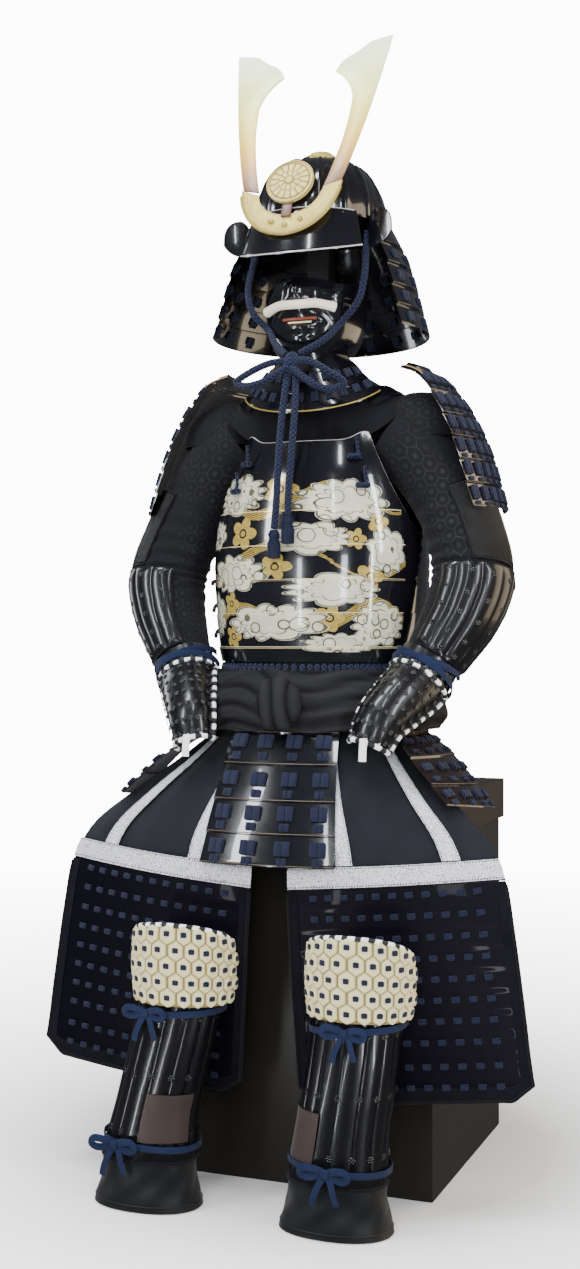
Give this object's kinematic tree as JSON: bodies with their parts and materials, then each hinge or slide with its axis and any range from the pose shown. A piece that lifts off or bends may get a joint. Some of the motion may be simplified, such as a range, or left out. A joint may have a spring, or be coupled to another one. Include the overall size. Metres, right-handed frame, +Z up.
{
  "type": "samurai armour on its storage chest",
  "caption": "Laced Japanese plate armour in its hollow seated form, with horned helmet, face mask, sleeves, apron and shin guards, standing on a lidded wooden storage chest.",
  "frame": {"origin": "centre of the underside of the storage chest, at the level that the foot covers also stand on", "axes": "+Z up; the front of the armour faces -Y; +X is to the right of someone who looks at the front"},
  "size_m": [0.788, 0.635, 1.7971],
  "materials": {
    "lacquer_black": "glossy black lacquer over iron and hide",
    "brocade_black": "black brocade, woven",
    "brocade_silver": "silver-white brocade",
    "lace_navy": "navy braided silk",
    "quilt_cream": "cream quilted cloth",
    "gilt": "polished pale gilt",
    "bone": "off-white hair bound in a roll",
    "wood_dark": "dark stained, satin"
  },
  "bodies": {
    "root": {"chest_body": "wood_dark", "chest_lid": "wood_dark", "inner_stand": "wood_dark", "helmet_bowl": "lacquer_black", "crown_ring": "gilt", "visor": "lacquer_black", "neck_guard": "lacquer_black", "turnback_left": "lacquer_black", "turnback_right": "lacquer_black", "crest_base": "gilt", "horn_left": "gilt", "horn_right": "gilt", "crest_disc": "gilt", "face_mask": "lacquer_black", "moustache": "bone", "throat_guard": "lacquer_black", "cuirass_front": "lacquer_black", "cuirass_back": "lacquer_black", "shoulder_strap_left": "lacquer_black", "shoulder_strap_right": "lacquer_black", "yoke": "brocade_black", "waist_lacing": "lace_navy", "sash_band": "brocade_black", "sash_knot": "brocade_black", "tasset_front": "lacquer_black", "tasset_back": "lacquer_black", "tasset_left": "lacquer_black", "tasset_right": "lacquer_black", "sleeve_left": "brocade_black", "forearm_splints_left": "lacquer_black", "hand_guard_left": "brocade_black", "sleeve_right": "brocade_black", "forearm_splints_right": "lacquer_black", "hand_guard_right": "brocade_black", "shoulder_guard_left": "lacquer_black", "shoulder_guard_right": "lacquer_black", "apron_cloth_left": "brocade_black", "apron_plates_left": "lacquer_black", "band_across_left": "brocade_silver", "band_inner_left": "brocade_silver", "band_outer_left": "brocade_silver", "apron_cloth_right": "brocade_black", "apron_plates_right": "lacquer_black", "band_across_right": "brocade_silver", "band_inner_right": "brocade_silver", "band_outer_right": "brocade_silver", "shin_guard_left": "lacquer_black", "foot_cover_left": "brocade_black", "knee_guard_left": "quilt_cream", "shin_guard_right": "lacquer_black", "foot_cover_right": "brocade_black", "knee_guard_right": "quilt_cream", "chin_cord_left": "lace_navy", "chin_cord_right": "lace_navy", "chin_bow": "lace_navy", "chin_end_left": "lace_navy", "chin_tassel_left": "lace_navy", "chin_end_right": "lace_navy", "chin_tassel_right": "lace_navy"}
  },
  "joints": []
}
